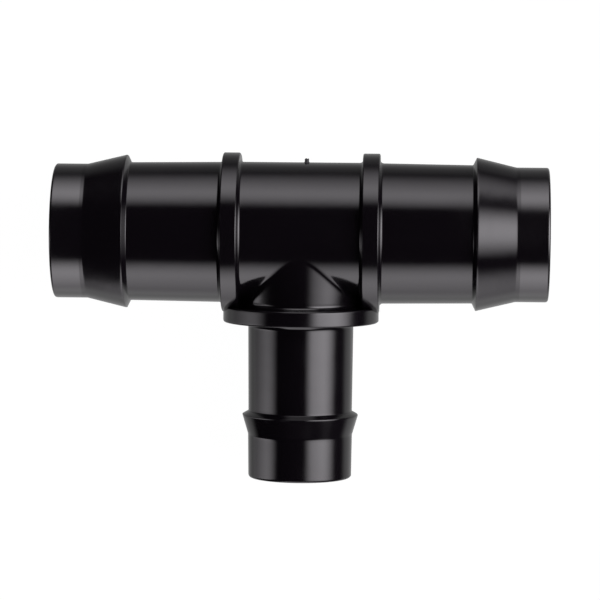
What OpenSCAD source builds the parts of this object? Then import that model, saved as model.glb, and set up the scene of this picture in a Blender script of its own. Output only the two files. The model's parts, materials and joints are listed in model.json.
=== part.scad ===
// Reducing barbed tee for low-density polyethylene irrigation pipe, in millimetres.
// It is a single moulding, drawn here as the regions that a maker's drawing names,
// each a closed solid that meets its neighbours face to face.
// X runs along the two run tails, -Y along the branch tail, and Z is normal to the tee.
// The origin is where the two waterway axes cross.

/* [Waterway] */
// Radius of the straight-through waterway
run_bore_r = 10; // [9:0.25:10.5]
// Radius of the branch waterway
branch_bore_r = 7.5; // [6.5:0.25:8]
// Chamfer where each waterway opens at a tip
mouth_chamfer = 0.4; // [0.2:0.1:0.6]

/* [Centre] */
// Outside radius of the straight centre section
centre_r = 12.85; // [12.6:0.05:13]
// Radius that the tapered neck would have at the run's axis
neck_root_r = 12.65; // [12:0.05:12.7]
// Radius of the tapered neck where it meets the branch collar
neck_end_r = 10.85; // [10.6:0.05:11.2]
// Fillet where the centre section meets a stop collar
centre_fillet = 0.6; // [0.3:0.1:0.6]

/* [Run tails] */
// Distance from the origin to the tip of a run tail
run_tip = 45.1; // [40:0.05:60]
// Outside radius of a run tail's plain nose
run_nose_r = 12.25; // [11.9:0.05:12.4]
// Length of a run tail's plain nose
run_nose_len = 5.95; // [4:0.05:8]
// Radius over a run tail's barb
run_crest_r = 13.95; // [13.4:0.05:14.2]
// Length of the slope from a run tail's nose up to its crest
run_ramp_len = 7.05; // [4:0.05:8]
// Axial length of the steep face behind a run tail's crest
run_back_len = 0.65; // [0.2:0.05:1.5]
// Radius of a run tail's shank beside the barb
run_shank_r = 12.6; // [12.3:0.05:12.7]
// Radius of a run tail's shank beside the stop collar
run_root_r = 12.8; // [12.7:0.05:13]

/* [Branch tail] */
// Distance from the origin to the tip of the branch tail
branch_tip = 44.95; // [40:0.05:60]
// Radius of the branch nose where the slope starts
branch_nose_r = 9.5; // [9.1:0.05:9.6]
// Radius of the branch nose at its tip
branch_nose_tip_r = 9.4; // [9:0.05:9.5]
// Length of the branch tail's plain nose
branch_nose_len = 7.9; // [4:0.05:9]
// Radius over the branch tail's barb
branch_crest_r = 10.55; // [10:0.05:10.8]
// Length of the slope from the branch nose up to its crest
branch_ramp_len = 3.55; // [3:0.05:6]
// Axial length of the steep face behind the branch crest
branch_back_len = 0.6; // [0.2:0.05:1.2]
// Radius of the branch shank beside the barb
branch_shank_r = 9.45; // [9.2:0.05:9.5]
// Radius of the branch shank beside the stop collar
branch_root_r = 9.6; // [9.5:0.05:9.8]

/* [Stop collars] */
// Outside radius of the two run stop collars
run_collar_r = 14.55; // [14:0.05:15]
// Width of a run stop collar along the tail
run_collar_w = 3.15; // [2.5:0.05:4]
// Outside radius of the branch stop collar
branch_collar_r = 14.2; // [14:0.1:14.5]
// Width of the branch stop collar along the tail
branch_collar_w = 2.9; // [2.5:0.1:4]
// Rounding of a stop collar's outer edges
collar_edge = 0.25; // [0.1:0.05:0.4]
// Fillet between a run tail's shank and its stop collar
run_root_fillet = 0.65; // [0.3:0.05:0.8]
// Fillet between the branch shank and its stop collar
branch_root_fillet = 1; // [0.4:0.1:1.2]

/* [Small details] */
// Width of the narrow cylindrical land on each crest
crest_land = 0.2; // [0.1:0.05:0.6]
// Rounding of the outer edge at each tip
tip_edge = 0.45; // [0.2:0.05:0.6]
// Height of the gate stub above the centre section
gate_h = 0.8; // [0.4:0.05:1.2]
// Radius of the gate stub at its foot
gate_foot_r = 0.55; // [0.4:0.05:0.8]
// Radius of the gate stub at its broken end
gate_end_r = 0.42; // [0.3:0.02:0.5]
// Distance of the gate stub from the middle, along the run
gate_x = 0.9; // [0:0.05:2]

/* [Hidden] */
$fn = 96;
plastic = "#19191b";
// Straight steps in a rounded edge or a fillet
arc_steps = 6;
// Reach of a cutter past the face that it opens
overlap = 1;
// Clearance between the neck's cut sides and the collars beside them
face_gap = 0.01;
// Faces across a run tail, from the origin outwards
run_collar_in = 11.2;
run_collar_out = run_collar_in + run_collar_w;
run_nose_in = run_tip - run_nose_len;
run_crest_in = run_nose_in - run_ramp_len - crest_land;
run_barb_in = run_crest_in - run_back_len;
// Faces across the branch tail, from the origin outwards
branch_collar_in = 13.4;
branch_collar_out = branch_collar_in + branch_collar_w;
branch_nose_in = branch_tip - branch_nose_len;
branch_crest_in = branch_nose_in - branch_ramp_len - crest_land;
branch_barb_in = branch_crest_in - branch_back_len;

// Points of an arc about [x, y], from one angle to another
function arc(x, y, r, from, to) = [
    for (i = [0 : arc_steps])
        let (a = from + (to - from) * i / arc_steps)
            [x + r * cos(a), y + r * sin(a)]
];

// Turns a tail drawn along +Z to the left, to the right or down the branch
module to_left() {
    rotate([0, -90, 0]) children();
}

module to_right() {
    rotate([0, 90, 0]) children();
}

module to_branch() {
    rotate([90, 0, 0]) children();
}

// Plain nose, with a rounded outer edge and a chamfered mouth
module nose(bore_r, root_r, tip_r, start, tip) {
    color(plastic)
        rotate_extrude()
            polygon(concat(
                [[bore_r, start], [root_r, start]],
                arc(tip_r - tip_edge, tip - tip_edge, tip_edge, 0, 90),
                [[bore_r + mouth_chamfer, tip], [bore_r, tip - mouth_chamfer]]
            ));
}

// Barb: a steep back face, a narrow crest land and a long slope to the nose
module barb(bore_r, shank_r, crest_r, nose_r, start, crest, end) {
    color(plastic)
        rotate_extrude()
            polygon([
                [bore_r, start],
                [shank_r, start],
                [crest_r, crest],
                [crest_r, crest + crest_land],
                [nose_r, end],
                [bore_r, end]
            ]);
}

// Shank with a root fillet; its root runs under the stop collar to the centre
module shank(bore_r, root_r, end_r, fillet, start, collar_face, end) {
    color(plastic)
        rotate_extrude()
            polygon(concat(
                [[bore_r, start], [root_r + fillet, start]],
                arc(root_r + fillet, collar_face + fillet, fillet, -90, -180),
                [[end_r, end], [bore_r, end]]
            ));
}

// Outline of a stop collar down to an inner radius
module collar_outline(inner_r, outer_r, start, end) {
    polygon(concat(
        [[inner_r, start]],
        arc(outer_r - collar_edge, start + collar_edge, collar_edge, -90, 0),
        arc(outer_r - collar_edge, end - collar_edge, collar_edge, 0, 90),
        [[inner_r, end]]
    ));
}

module run_collar(inner_r) {
    rotate_extrude()
        collar_outline(inner_r, run_collar_r, run_collar_in, run_collar_out);
}

// Centre section with its end fillets, down to an inner radius
module centre_barrel(inner_r) {
    rotate([0, 90, 0])
        rotate_extrude()
            polygon(concat(
                [[inner_r, -run_collar_in]],
                arc(centre_r + centre_fillet, centre_fillet - run_collar_in, centre_fillet, -90, -180),
                arc(centre_r + centre_fillet, run_collar_in - centre_fillet, centre_fillet, 180, 90),
                [[inner_r, run_collar_in]]
            ));
}

module branch_cylinder(r, start, end) {
    to_branch()
        translate([0, 0, start])
            cylinder(r = r, h = end - start);
}

module run_centre() {
    color(plastic)
        difference() {
            centre_barrel(run_bore_r);
            branch_cylinder(branch_bore_r, 0, centre_r + overlap);
        }
}

module branch_neck() {
    color(plastic)
        difference() {
            intersection() {
                to_branch()
                    cylinder(r1 = neck_root_r, r2 = neck_end_r, h = branch_collar_in);
                cube([2 * (run_collar_in - face_gap), 4 * centre_r, 4 * centre_r], center = true);
            }
            centre_barrel(0);
            branch_cylinder(branch_bore_r, -overlap, branch_collar_in + overlap);
        }
}

module gate_vestige() {
    color(plastic)
        difference() {
            translate([gate_x, 0, 0])
                rotate([-90, 0, 0])
                    cylinder(r1 = gate_foot_r, r2 = gate_end_r, h = centre_r + gate_h);
            centre_barrel(0);
        }
}

module left_stop_collar() {
    color(plastic) to_left() run_collar(run_root_r + run_root_fillet);
}

module right_stop_collar() {
    color(plastic) to_right() run_collar(run_root_r + run_root_fillet);
}

// The branch collar gives way to the two run collars where their rims cross
module branch_stop_collar() {
    color(plastic)
        difference() {
            to_branch()
                rotate_extrude()
                    collar_outline(
                        branch_root_r + branch_root_fillet, branch_collar_r,
                        branch_collar_in, branch_collar_out
                    );
            to_left() run_collar(0);
            to_right() run_collar(0);
        }
}

module run_shank() {
    shank(
        run_bore_r, run_root_r, run_shank_r, run_root_fillet,
        run_collar_in, run_collar_out, run_barb_in
    );
}

module left_shank() {
    to_left() run_shank();
}

module right_shank() {
    to_right() run_shank();
}

module branch_shank() {
    to_branch()
        shank(
            branch_bore_r, branch_root_r, branch_shank_r, branch_root_fillet,
            branch_collar_in, branch_collar_out, branch_barb_in
        );
}

module run_barb() {
    barb(
        run_bore_r, run_shank_r, run_crest_r, run_nose_r,
        run_barb_in, run_crest_in, run_nose_in
    );
}

module left_barb() {
    to_left() run_barb();
}

module right_barb() {
    to_right() run_barb();
}

module branch_barb() {
    to_branch()
        barb(
            branch_bore_r, branch_shank_r, branch_crest_r, branch_nose_r,
            branch_barb_in, branch_crest_in, branch_nose_in
        );
}

module run_nose() {
    nose(run_bore_r, run_nose_r, run_nose_r, run_nose_in, run_tip);
}

module left_nose() {
    to_left() run_nose();
}

module right_nose() {
    to_right() run_nose();
}

module branch_nose() {
    to_branch()
        nose(branch_bore_r, branch_nose_r, branch_nose_tip_r, branch_nose_in, branch_tip);
}

run_centre();
branch_neck();
gate_vestige();
left_stop_collar();
left_shank();
left_barb();
left_nose();
right_stop_collar();
right_shank();
right_barb();
right_nose();
branch_stop_collar();
branch_shank();
branch_barb();
branch_nose();
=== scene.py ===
"""A reducing barbed tee for soft irrigation pipe, moulded in one shot of black plastic.

Lengths are in metres. X runs along the two run tails, -Y along the branch tail, and the
mould halves part in the plane z = 0. The waterway axes cross at the origin.
"""

import json
import math

import bmesh
import bpy
import numpy as np
from mathutils import Matrix, Vector


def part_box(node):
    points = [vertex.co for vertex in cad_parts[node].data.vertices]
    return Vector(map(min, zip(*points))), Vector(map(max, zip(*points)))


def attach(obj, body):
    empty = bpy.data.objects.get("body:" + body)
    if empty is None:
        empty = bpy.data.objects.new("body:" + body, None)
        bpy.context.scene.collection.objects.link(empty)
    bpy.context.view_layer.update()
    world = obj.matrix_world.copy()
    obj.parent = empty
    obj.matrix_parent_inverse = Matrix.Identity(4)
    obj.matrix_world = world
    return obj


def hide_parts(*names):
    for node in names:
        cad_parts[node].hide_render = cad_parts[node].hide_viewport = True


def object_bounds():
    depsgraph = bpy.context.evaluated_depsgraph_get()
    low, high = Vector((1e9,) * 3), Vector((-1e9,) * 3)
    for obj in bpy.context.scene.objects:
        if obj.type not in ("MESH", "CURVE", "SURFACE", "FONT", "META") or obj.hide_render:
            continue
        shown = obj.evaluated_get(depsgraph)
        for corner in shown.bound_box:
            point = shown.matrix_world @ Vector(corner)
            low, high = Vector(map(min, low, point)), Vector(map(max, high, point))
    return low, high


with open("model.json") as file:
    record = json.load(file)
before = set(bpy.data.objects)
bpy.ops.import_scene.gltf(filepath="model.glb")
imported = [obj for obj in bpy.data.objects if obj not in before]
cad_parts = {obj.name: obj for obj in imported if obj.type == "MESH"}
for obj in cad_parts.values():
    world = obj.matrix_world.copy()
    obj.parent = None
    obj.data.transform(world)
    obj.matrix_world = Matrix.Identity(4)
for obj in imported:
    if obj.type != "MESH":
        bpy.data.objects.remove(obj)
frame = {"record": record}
cad_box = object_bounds()

MM = 0.001
rng = np.random.default_rng(25)


# ------------------------------------------------------------ sizes from the frame

def span(node, axis):
    """The nearest and the farthest that a node reaches from the origin along one axis."""
    low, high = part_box(node)
    return sorted((abs(low[axis]), abs(high[axis])))


def radius(node):
    """Half a round node's size normal to the tee."""
    low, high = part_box(node)
    return (high[2] - low[2]) / 2


def bore_radius(mount):
    for entry in frame["record"]["mounts"]:
        if entry["name"] == mount:
            return entry["dims"]["r_mm"] * MM


class Tail:
    """One hose tail: the way it points and the sizes that its pieces share."""

    def __init__(self, side, along, across, bore, shank_r, root_fillet, barb_back, nose_draft):
        axis = [abs(part) for part in along].index(1)
        self.side = side
        self.along = Vector(along)
        self.across = Vector(across)
        self.bore_r = bore_radius(bore)
        self.shank_r = shank_r
        self.root_fillet = root_fillet
        self.root_r = radius(side + "_shank") - root_fillet
        self.crest_r = radius(side + "_barb")
        self.nose_r = radius(side + "_nose")
        self.nose_draft = nose_draft
        self.collar_r = radius(side + "_stop_collar")
        self.collar_in, self.collar_out = span(side + "_stop_collar", axis)
        self.barb_in, self.nose_in = span(side + "_barb", axis)
        self.crest_in = self.barb_in + barb_back
        self.tip = span(side + "_nose", axis)[1]


RUN_SIZES = dict(
    bore="run_bore", shank_r=12.6 * MM, root_fillet=0.65 * MM, barb_back=0.65 * MM, nose_draft=0
)
TAILS = [
    Tail("left", (-1, 0, 0), (0, 1, 0), **RUN_SIZES),
    Tail("right", (1, 0, 0), (0, 1, 0), **RUN_SIZES),
    Tail("branch", (0, -1, 0), (1, 0, 0), "branch_bore", 9.45 * MM, 1 * MM, 0.6 * MM, 0.1 * MM),
]
RIGHT = TAILS[1]
BRANCH = TAILS[2]

CREST_LAND = 0.2 * MM
COLLAR_EDGE = 0.3 * MM
TIP_EDGE = 0.45 * MM
MOUTH_CHAMFER = 0.4 * MM
NOSE_BLEND = 0.9 * MM  # rounding where a barb's slope runs into the nose
CREST_FRONT = 0.4 * MM
CREST_BACK = 0.08 * MM  # the sharp edge that grips the pipe
BARB_FOOT = 0.25 * MM
MOUTH_EDGE = 0.15 * MM
SEAM = 0.6 * MM  # how far from a corner two pieces meet, so that the skin runs on smoothly
COLLAR_LIP = 0.15 * MM  # flat between a stop collar and its root fillet

CENTRE_FILLET = 0.6 * MM
COLLAR_FILLET = 0.8 * MM
SADDLE_FILLET = 2 * MM
CENTRE_R = radius("run_centre") - CENTRE_FILLET
NECK_ROOT_R = 12.65 * MM  # the tapered neck's radius, carried on to the run's axis
NECK_END_R = 10.85 * MM
NECK_TAPER = (NECK_ROOT_R - NECK_END_R) / BRANCH.collar_in
NECK_COS = math.cos(math.atan(NECK_TAPER))

FLASH_H = 0.05 * MM  # the fine ridge where the mould halves meet
FLASH_W = 0.12 * MM
FLASH_SIDES = np.radians([0.25, 0.5, 0.75, 1.1])  # extra mesh lines on each side of the ridge


# ------------------------------------------------------------ mesh making

def unit(vector):
    return vector / np.linalg.norm(vector)


def rounded(corners, step=math.radians(8)):
    """The closed outline through corners of (radius, along, rounding), each an arc.

    The third number at each point is 1 on an arc that turns outwards, where handling
    wears the plastic, and 0 elsewhere. The corners go round clockwise.
    """
    points = []
    for i, (r, along, rounding) in enumerate(corners):
        here = np.array((r, along))
        back = unit(np.array(corners[i - 1][:2]) - here)
        ahead = unit(np.array(corners[(i + 1) % len(corners)][:2]) - here)
        if not rounding:
            points.append((*here, 0))
            continue
        half = math.acos(back @ ahead) / 2
        centre = here + unit(back + ahead) * rounding / math.sin(half)
        first = here + back * rounding / math.tan(half) - centre
        last = here + ahead * rounding / math.tan(half) - centre
        outwards = first[0] * last[1] - first[1] * last[0] < 0
        turn = (2 * half - math.pi) * (1 if outwards else -1)
        steps = max(2, math.ceil(abs(turn) / step))
        for angle in np.linspace(0, turn, steps + 1):
            cos, sin = math.cos(angle), math.sin(angle)
            point = centre + (cos * first[0] - sin * first[1], sin * first[0] + cos * first[1])
            points.append((*point, float(outwards)))
    return np.array(points)


def with_rings(points, edge=0.25 * MM, longest=1.2 * MM):
    """Adds points along the straight stretches: one near each end, and one every so often."""
    out = []
    for here, ahead in zip(points, np.roll(points, -1, axis=0)):
        length = np.linalg.norm((ahead - here)[:2])
        out.append(here)
        if length > 3 * edge:
            steps = math.ceil((length - 2 * edge) / longest)
            for at in np.linspace(edge, length - edge, steps + 1) / length:
                point = here + (ahead - here) * at
                point[2] = 0
                out.append(point)
    return np.array(out)


def sweep_angles(steps=192):
    """Angles of a full turn, closer together at both sides, where the flash line runs."""
    extra = [side + sign * off for side in (0, math.pi) for off in FLASH_SIDES for sign in (1, -1)]
    turn = 2 * math.pi
    every = [turn * k / steps for k in range(steps)] + [angle % turn for angle in extra]
    return np.array(sorted(every))


def flash(r, angle):
    """Height of the flash ridge at a radius and an angle from the parting plane."""
    off = np.abs((angle + math.pi / 2) % math.pi - math.pi / 2)
    return FLASH_H * np.exp(-((r * off / FLASH_W) ** 2))


def solid(name, points, faces, wear=None):
    """An object from points and faces, smooth but for its real edges."""
    mesh = bpy.data.meshes.new(name)
    mesh.from_pydata([tuple(point) for point in points], [], faces)
    if wear is not None:
        mesh.attributes.new("wear", "FLOAT", "POINT").data.foreach_set("value", wear)
    piece = bpy.data.objects.new(name, mesh)
    bpy.context.collection.objects.link(piece)
    tidy = bmesh.new()
    tidy.from_mesh(mesh)
    bmesh.ops.recalc_face_normals(tidy, faces=tidy.faces)
    tidy.to_mesh(mesh)
    tidy.free()
    return piece


def shade(piece, sharpest=math.radians(35)):
    """Smooth shading that breaks at real edges and keeps flat faces flat."""
    piece.data.shade_smooth()
    piece.data.set_sharp_from_angle(angle=sharpest)
    weighted = piece.modifiers.new("weighted", "WEIGHTED_NORMAL")
    weighted.keep_sharp = True
    weighted.weight = 80


def turned(name, corners, tail):
    """A solid turned about a tail's axis, with the flash ridge on its outer skin."""
    outline = with_rings(rounded(corners))
    angles = sweep_angles()
    r, along, wear = (outline[:, i][:, None] for i in range(3))
    outside = r > tail.bore_r + MOUTH_CHAMFER + COLLAR_LIP
    full_r = r + np.where(outside, flash(r, angles), 0)
    a, c, u = (np.array(v) for v in (tail.across, tail.along.cross(tail.across), tail.along))
    points = (
        (full_r * np.cos(angles))[..., None] * a
        + (full_r * np.sin(angles))[..., None] * c
        + (along + 0 * full_r)[..., None] * u
    )
    rings, steps = full_r.shape
    faces = [
        (
            i * steps + j,
            (i + 1) % rings * steps + j,
            (i + 1) % rings * steps + (j + 1) % steps,
            i * steps + (j + 1) % steps,
        )
        for i in range(rings)
        for j in range(steps)
    ]
    return solid(name, points.reshape(-1, 3), faces, np.repeat(wear, steps))


def cut(piece, cutter):
    """Cuts one closed solid out of another."""
    step = piece.modifiers.new("cut", "BOOLEAN")
    step.operation = "DIFFERENCE"
    step.solver = "EXACT"
    step.object = cutter
    bpy.context.view_layer.objects.active = piece
    bpy.ops.object.modifier_apply(modifier=step.name)
    bpy.data.objects.remove(cutter)


def rod(r, start, end, steps=192):
    """A round core pin from one point to another."""
    start, end = Vector(start), Vector(end)
    pin = bmesh.new()
    bmesh.ops.create_cone(
        pin, cap_ends=True, segments=steps, radius1=r, radius2=r, depth=(end - start).length
    )
    turn = (end - start).to_track_quat("Z", "Y").to_matrix().to_4x4()
    pin.transform(Matrix.Translation((start + end) / 2) @ turn)
    mesh = bpy.data.meshes.new("core")
    pin.to_mesh(mesh)
    pin.free()
    piece = bpy.data.objects.new("core", mesh)
    bpy.context.collection.objects.link(piece)
    return piece


def finish_piece(piece, material, slot, *nodes):
    """Shades a piece, gives it its finish, attaches it to the root and hides the CAD nodes that it stands
    for.
    """
    shade(piece)
    piece.data.materials.clear()
    piece.data.materials.append(material)
    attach(piece, "root")
    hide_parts(*nodes)


# ------------------------------------------------------------ the hose tails

def stop_collar(tail):
    """A free ring; the branch's gives way to the two run collars where their rims cross."""
    inner = tail.root_r + tail.root_fillet + COLLAR_LIP
    ring = turned(tail.side + "_stop_collar_moulding", [
        (inner, tail.collar_in, 0),
        (inner, tail.collar_out, 0),
        (tail.collar_r, tail.collar_out, COLLAR_EDGE),
        (tail.collar_r, tail.collar_in, COLLAR_EDGE),
    ], tail)
    if tail is BRANCH:
        for side in (-1, 1):
            ends = (side * RIGHT.collar_in, side * RIGHT.collar_out)
            cut(ring, rod(RIGHT.collar_r, *((end, 0, 0) for end in ends)))
    return ring


def shank(tail):
    lip = tail.root_r + tail.root_fillet + COLLAR_LIP
    taper = (tail.shank_r - tail.root_r) / (tail.barb_in - tail.collar_out)
    end = tail.barb_in - SEAM
    return turned(tail.side + "_shank_moulding", [
        (tail.bore_r, tail.collar_in, 0),
        (tail.bore_r, end, 0),
        (tail.shank_r - taper * SEAM, end, 0),
        (tail.root_r, tail.collar_out, tail.root_fillet),
        (lip, tail.collar_out, 0),
        (lip, tail.collar_in, 0),
    ], tail)


def barb(tail):
    taper = (tail.shank_r - tail.root_r) / (tail.barb_in - tail.collar_out)
    start, end = tail.barb_in - SEAM, tail.nose_in + SEAM
    nose_taper = tail.nose_draft / (tail.tip - tail.nose_in)
    return turned(tail.side + "_barb_moulding", [
        (tail.bore_r, start, 0),
        (tail.bore_r, end, 0),
        (tail.nose_r - nose_taper * SEAM, end, 0),
        (tail.nose_r, tail.nose_in, NOSE_BLEND),
        (tail.crest_r, tail.crest_in + CREST_LAND, CREST_FRONT),
        (tail.crest_r, tail.crest_in, CREST_BACK),
        (tail.shank_r, tail.barb_in, BARB_FOOT),
        (tail.shank_r - taper * SEAM, start, 0),
    ], tail)


def nose(tail):
    start = tail.nose_in + SEAM
    nose_taper = tail.nose_draft / (tail.tip - tail.nose_in)
    return turned(tail.side + "_nose_moulding", [
        (tail.bore_r, start, 0),
        (tail.bore_r, tail.tip - MOUTH_CHAMFER, MOUTH_EDGE),
        (tail.bore_r + MOUTH_CHAMFER, tail.tip, MOUTH_EDGE),
        (tail.nose_r - tail.nose_draft, tail.tip, TIP_EDGE),
        (tail.nose_r - nose_taper * SEAM, start, 0),
    ], tail)


# ------------------------------------------------------------ the centre and its neck

def blend(a, b, r):
    """The union of two distance fields, with a fillet of radius r where they meet."""
    return np.maximum(r, np.minimum(a, b)) - np.hypot(np.maximum(r - a, 0), np.maximum(r - b, 0))


def saddle(x, y, z):
    """Distance from the barrel and the neck, with a ball of the fillet's radius rolled round.

    The ball touches both at once only along one curve, so between its two lines of
    contact the skin is as far from that curve as the ball's radius.
    """
    ball = SADDLE_FILLET
    over_barrel, over_neck = CENTRE_R + ball, NECK_ROOT_R + ball / NECK_COS
    from_run, from_branch = np.hypot(y, z), np.hypot(x, z)
    barrel = from_run - CENTRE_R
    neck = (from_branch - NECK_ROOT_R - NECK_TAPER * y) * NECK_COS
    lift = over_barrel / from_run
    clear_of_neck = (y > 0) | (np.hypot(x, z * lift) > over_neck + NECK_TAPER * y * lift)
    out = (ball - neck) * NECK_COS
    clear_of_barrel = np.hypot(y - out * NECK_TAPER, z * (1 + out / from_branch)) > over_barrel
    grade = 1 + NECK_TAPER**2
    lean = over_neck * NECK_TAPER

    far = over_neck - NECK_TAPER * over_barrel - 1e-7  # where the track reaches the parting plane

    def ball_track(at):
        """Height, depth and their slopes where the ball touches both skins, at this x."""
        root = np.sqrt(lean**2 - grade * (over_neck**2 - at**2 - over_barrel**2))
        ball_y = -(lean + root) / grade
        ball_z = np.sqrt(over_barrel**2 - ball_y**2)
        turn_y = at / (grade * ball_y + lean)
        return ball_y, ball_z, turn_y, -ball_y * turn_y / ball_z

    at = np.clip(x * (1 + ball / NECK_ROOT_R), -far, far)
    for _ in range(12):
        ball_y, ball_z, turn_y, turn_z = ball_track(at)
        pull = at - x + (ball_y - y) * turn_y + (ball_z - z) * turn_z
        at = np.clip(at - pull / (1 + turn_y**2 + turn_z**2), -far, far)
    ball_y, ball_z, _, _ = ball_track(at)
    rolled = ball - np.sqrt((at - x) ** 2 + (ball_y - y) ** 2 + (ball_z - z) ** 2)
    touching = np.minimum(
        np.where(clear_of_neck, barrel, np.inf),
        np.where(clear_of_barrel & (y < 0), neck, np.inf),
    )
    return np.where(clear_of_neck | clear_of_barrel, touching, rolled)


def centre_field(x, y, z):
    """Distance outside the centre, with its fillets to the run collars and the branch collar."""
    body = saddle(x, y, z)
    return np.minimum(
        blend(body, RIGHT.collar_in - np.abs(x), CENTRE_FILLET),
        blend(body, y + BRANCH.collar_in, COLLAR_FILLET),
    )


def skin_height(x, y, across, up):
    """How far the skin is from (x, y, 0) along the direction (0, across, up)."""
    low, high = np.zeros(np.broadcast(x, y).shape), np.full(np.broadcast(x, y).shape, 20 * MM)
    for _ in range(40):
        middle = (low + high) / 2
        inside = centre_field(x, y + middle * across, middle * up + 1e-9) < -1e-10
        low, high = np.where(inside, middle, low), np.where(inside, high, middle)
    return low


def eased(end, fillet, step, fillet_steps=10):
    """Places from 0 to end, evenly spaced and then closing in on the last fillet."""
    arc = [end - fillet * (1 - math.sin(a)) for a in np.linspace(0, math.pi / 2, fillet_steps + 1)]
    return np.array([*np.linspace(0, end - fillet, math.ceil((end - fillet) / step) + 1)[:-1], *arc])


def tee_centre():
    """The barrel and the neck in one skin, cored out by the three core pins."""
    half = eased(RIGHT.collar_in, CENTRE_FILLET, 0.3 * MM)
    x = np.array([*-half[:0:-1], *half])
    back = sorted([*np.linspace(0, math.pi / 2, 49), *FLASH_SIDES])
    down = -eased(BRANCH.collar_in, COLLAR_FILLET, 0.25 * MM)
    rows = []
    for angle in back[:-1]:
        across, up = math.cos(angle), math.sin(angle)
        reach = skin_height(x, np.zeros_like(x), across, up)
        reach = reach + flash(reach, angle)
        rows.append(np.stack([x, reach * across, reach * up], axis=1))
    for y in down:
        reach = skin_height(x, np.full_like(x, y), 0, 1)
        rows.append(np.stack([x, np.full_like(x, y), reach], axis=1))
    upper = np.array(rows)
    lower = upper[:0:-1] * (1, 1, -1)
    grid = np.concatenate([upper, lower])
    count, wide = grid.shape[:2]
    faces = [
        (i * wide + j, (i + 1) % count * wide + j, (i + 1) % count * wide + j + 1, i * wide + j + 1)
        for i in range(count)
        for j in range(wide - 1)
    ]
    faces.append([i * wide for i in range(count)])
    faces.append([i * wide + wide - 1 for i in reversed(range(count))])
    piece = solid("tee_centre_moulding", grid.reshape(-1, 3), faces)
    past = 5 * MM
    ends = RIGHT.collar_in + past
    cut(piece, rod(RIGHT.bore_r, (-ends, 0, 0), (ends, 0, 0)))
    cut(piece, rod(BRANCH.bore_r, (0, 0, 0), (0, -BRANCH.collar_in - past, 0)))
    return piece


def gate_stub():
    """The stub left where the sprue was broken off: a short cone with a torn end."""
    low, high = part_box("gate_vestige")
    middle, top = (low[0] + high[0]) / 2, high[1]
    foot, end = (high[0] - low[0]) / 2, 0.4 * MM
    steps = 40
    # Each ring's radius, and how far up the stub it is as a share of the height
    sides = [(foot + 0.22 * MM, -0.25), (foot + 0.2 * MM, 0.02), (foot, 0.15), (foot * 0.9, 0.4),
             (end, 0.8), (end * 0.8, 0.97), (end * 0.45, 0.78)]
    height = top - CENTRE_R
    points = []
    for ring, (r, share) in enumerate(sides):
        torn = 0.16 * height * max(0, share - 0.5)
        for k in range(steps):
            angle = 2 * math.pi * k / steps
            ragged = torn * (math.sin(3 * angle + 1) + rng.uniform(-0.8, 0.8) - 0.9)
            x, z = middle + r * math.cos(angle), r * math.sin(angle)
            base = math.sqrt(CENTRE_R**2 - z**2)
            points.append((x, base + height * share + ragged, z))
    points.append((middle, CENTRE_R - 0.3 * height, 0))
    points.append((middle, CENTRE_R + 0.62 * height, 0))
    faces = [
        (i * steps + k, i * steps + (k + 1) % steps, (i + 1) * steps + (k + 1) % steps, (i + 1) * steps + k)
        for i in range(len(sides) - 1)
        for k in range(steps)
    ]
    last = (len(sides) - 1) * steps
    faces += [((k + 1) % steps, k, len(points) - 2) for k in range(steps)]
    faces += [(last + k, last + (k + 1) % steps, len(points) - 1) for k in range(steps)]
    return solid("gate_stub", points, faces)


# ------------------------------------------------------------ materials

class Value:
    """A shader socket that takes part in Python arithmetic."""

    def __init__(self, recipe, socket):
        self.recipe = recipe
        self.socket = socket

    def _math(self, operation, first, second):
        return self.recipe.node("ShaderNodeMath", {"operation": operation}, {0: first, 1: second})

    def __add__(self, other):
        return self._math("ADD", self, other)

    def __sub__(self, other):
        return self._math("SUBTRACT", self, other)

    def __rsub__(self, other):
        return self._math("SUBTRACT", other, self)

    def __mul__(self, other):
        return self._math("MULTIPLY", self, other)

    __radd__ = __add__
    __rmul__ = __mul__


class Recipe:
    """The node tree of a material, a light or the world."""

    def __init__(self, owner):
        owner.use_nodes = True
        self.owner = owner
        self.tree = owner.node_tree
        self.tree.nodes.clear()

    def node(self, kind, settings, sockets, output=0):
        """Adds a node, with its settings first and then its sockets' values or links."""
        node = self.tree.nodes.new(kind)
        for name, value in settings.items():
            setattr(node, name, value)
        for name, value in sockets.items():
            if isinstance(value, Value):
                self.tree.links.new(value.socket, node.inputs[name])
            else:
                node.inputs[name].default_value = value
        return Value(self, node.outputs[output]) if node.outputs else None

    def place(self):
        return self.node("ShaderNodeTexCoord", {}, {}, "Object")

    def noise(self, scale, detail=2, stretch=(1, 1, 1)):
        where = self.node(
            "ShaderNodeMapping", {}, {"Vector": self.place(), "Scale": stretch}
        )
        return self.node(
            "ShaderNodeTexNoise", {}, {"Vector": where, "Scale": scale, "Detail": detail}
        )

    def axis(self, vector, letter):
        return self.node("ShaderNodeSeparateXYZ", {}, {"Vector": vector}, letter)

    def ramp(self, value, low, high):
        """0 below low, 1 above high and a smooth step between."""
        return self.node(
            "ShaderNodeMapRange",
            {"interpolation_type": "SMOOTHSTEP"},
            {"Value": value, "From Min": low, "From Max": high},
        )

    def mix(self, share, first, second):
        return self.node(
            "ShaderNodeMix", {"data_type": "RGBA"}, {0: share, 6: first, 7: second}, 2
        )

    def finish(self, colour, roughness, height, depth, settings):
        bump = self.node("ShaderNodeBump", {}, {"Height": height, "Strength": 1, "Distance": depth})
        surface = self.node(
            "ShaderNodeBsdfPrincipled",
            {},
            {"Base Color": colour, "Roughness": roughness, "Normal": bump, **settings},
        )
        self.node("ShaderNodeOutputMaterial", {}, {"Surface": surface})
        return self.owner


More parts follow.
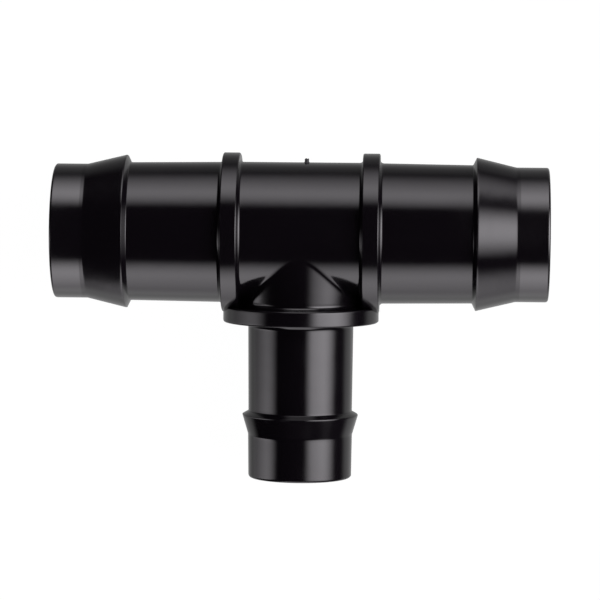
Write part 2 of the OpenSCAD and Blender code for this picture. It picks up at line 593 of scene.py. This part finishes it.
def moulded_black(name, ior):
    """Glossy black polyethylene: flow mottling, a soft haze, rubbed edges and stray scuffs."""
    plastic = Recipe(bpy.data.materials.new(name))
    flow = plastic.noise(90, 3, (1, 1, 1))
    mottle = plastic.noise(420, 4)
    grain = plastic.noise(3200, 2)
    haze = plastic.ramp(plastic.noise(55, 5), 0.46, 0.68)
    worn = plastic.node("ShaderNodeAttribute", {"attribute_name": "wear"}, {}, "Fac")
    rubbed = worn * plastic.ramp(mottle, 0.4, 0.7)
    scuffs = plastic.ramp(plastic.noise(900, 3, (0.08, 1, 1)), 0.7, 0.78)
    marks = plastic.ramp(rubbed * 0.45 + scuffs * 0.3, 0, 1)
    black, grey = (0.003, 0.0023, 0.0033, 1), (0.02, 0.019, 0.021, 1)
    colour = plastic.mix(marks * 0.5, black, grey)
    roughness = 0.1 + mottle * 0.05 + haze * 0.05 + marks * 0.16
    height = flow * 1.0 + mottle * 0.06 + grain * 0.008 - marks * 0.02
    return plastic.finish(colour, roughness, height, 0.05 * MM, {"IOR": ior})


def torn_gate():
    """The same plastic where it tore: duller, paler and rough."""
    plastic = Recipe(bpy.data.materials.new("torn_gate"))
    tear = plastic.noise(2600, 4)
    colour = plastic.mix(tear, (0.008, 0.008, 0.009, 1), (0.045, 0.045, 0.047, 1))
    return plastic.finish(colour, 0.4 + tear * 0.3, tear, 0.08 * MM, {"IOR": 1.51})


def pale_floor():
    """A plain pale light table, lit from below so that the tee casts no shadow on it."""
    floor = Recipe(bpy.data.materials.new("pale_floor"))
    tone = floor.mix(floor.noise(6, 2), (0.985, 0.985, 0.985, 1), (1, 1, 1, 1))
    glow = {"Emission Color": tone, "Emission Strength": 1, "Specular IOR Level": 0}
    return floor.finish((0.02, 0.02, 0.02, 1), 0.8, floor.noise(300, 2), 0.01 * MM, glow)


# ------------------------------------------------------------ the pieces

black = moulded_black("moulded_black", 1.5)
polished = moulded_black("polished_black", 1.65)  # the run noses shine more than the rest
for tail in TAILS:
    for part, make in (("stop_collar", stop_collar), ("shank", shank), ("barb", barb)):
        finish_piece(make(tail), black, "moulded_black", f"{tail.side}_{part}")
    nose_finish = black if tail is BRANCH else polished
    finish_piece(nose(tail), nose_finish, "moulded_black", f"{tail.side}_nose")
finish_piece(tee_centre(), black, "moulded_black", "run_centre", "branch_neck")
finish_piece(gate_stub(), torn_gate(), "torn_gate", "gate_vestige")


# ------------------------------------------------------------ the set

LAMP_TINT = (1, 0.96, 1.01)


def floor_plane(half=4):
    z = cad_box[0][2]
    corners = [(-half, -half, z), (half, -half, z), (half, half, z), (-half, half, z)]
    floor = solid("floor", corners, [(0, 1, 2, 3)])
    floor.data.materials.append(pale_floor())
    floor.visible_glossy = False
    floor.visible_shadow = False


def direction(heading, tilt):
    """A direction tilted away from +Z towards a heading, which turns from +X to +Y."""
    h, t = math.radians(heading), math.radians(tilt)
    return Vector((math.cos(h) * math.sin(t), math.sin(h) * math.sin(t), math.cos(t)))


def softbox(name, heading, tilt, roll, distance, size, softness, glow):
    """A flat panel aimed at the tee, whose softness says how far it fades in from each edge."""
    out = direction(heading, tilt)
    side = direction(heading + 90, 90)
    light = bpy.data.lights.new(name, "AREA")
    light.shape = "RECTANGLE"
    light.size, light.size_y = size
    light.energy = glow * math.pi * light.size * light.size_y
    light.color = LAMP_TINT
    lamp = bpy.data.objects.new(name, light)
    bpy.context.collection.objects.link(lamp)
    turn = Matrix((side, out.cross(side), out)).transposed()
    turn = turn @ Matrix.Rotation(math.radians(roll), 3, "Z")
    lamp.matrix_world = Matrix.Translation(out * distance) @ turn.to_4x4()
    lamp.visible_camera = False
    panel = Recipe(light)
    where = panel.node("ShaderNodeNewGeometry", {}, {}, "Parametric")
    fade = 1
    for letter, (start, end) in zip("XY", softness):
        at = panel.axis(where, letter) * 2
        fade = panel.ramp(at, 0, start) * panel.ramp(2 - at, 0, end) * fade
    shine = panel.node("ShaderNodeEmission", {}, {"Strength": fade})
    panel.node("ShaderNodeOutputLight", {}, {"Surface": shine})


def camera(yaw=2.08, pitch=4.61, roll=0.44, place=(-0.27, -12.29, 607), lens=199):
    """A long lens almost straight above; the place is in the camera's own axes."""
    yaw, pitch, roll = (math.radians(angle) for angle in (yaw, pitch, roll))
    back = Vector((math.sin(yaw) * math.cos(pitch), math.sin(pitch), math.cos(yaw) * math.cos(pitch)))
    up = (Vector((0, 1, 0)) - back * back.y).normalized()
    turn = Matrix((up.cross(back), up, back)).transposed() @ Matrix.Rotation(roll, 3, "Z")
    view = bpy.data.cameras.new("camera")
    view.lens = lens
    eye = bpy.data.objects.new("camera", view)
    bpy.context.collection.objects.link(eye)
    eye.matrix_world = Matrix.Translation(turn @ Vector(place) * MM) @ turn.to_4x4()
    bpy.context.scene.camera = eye


def studio_world():
    """A dark room over a table that reflects most from the front and least from the back."""
    room = Recipe(bpy.data.worlds.new("studio"))
    bpy.context.scene.world = room.owner
    towards = room.node("ShaderNodeTexCoord", {}, {}, "Generated")
    below = room.ramp(room.axis(towards, "Z") * -1, 0.27, 0.59)
    table = room.axis(towards, "Y") * -0.36 + room.axis(towards, "X") * 0.11 + 0.48
    light = room.node("ShaderNodeBackground", {}, {"Strength": below * table + 0.002})
    room.node("ShaderNodeOutputWorld", {}, {"Surface": light})


floor_plane()
softbox("back_softbox", 89, 80.7, -9, 1.5, (1.58, 2.41), ((0.3, 0.72), (2, 0.9)), 4.35)
softbox("front_softbox", 273.4, 88.8, 1, 1.2, (1.37, 2.5), ((0.18, 0.65), (2, 0.84)), 4.15)
softbox("left_softbox", 185.7, 90.5, 2.5, 0.94, (0.4, 1.68), ((2, 0.17), (2, 0.88)), 4.4)
softbox("right_softbox", 3.8, 51.4, -17, 1.47, (2.48, 2.38), ((1.05, 0.87), (0.96, 0.6)), 6)
camera()
studio_world()
bpy.context.scene.view_settings.view_transform = "Standard"
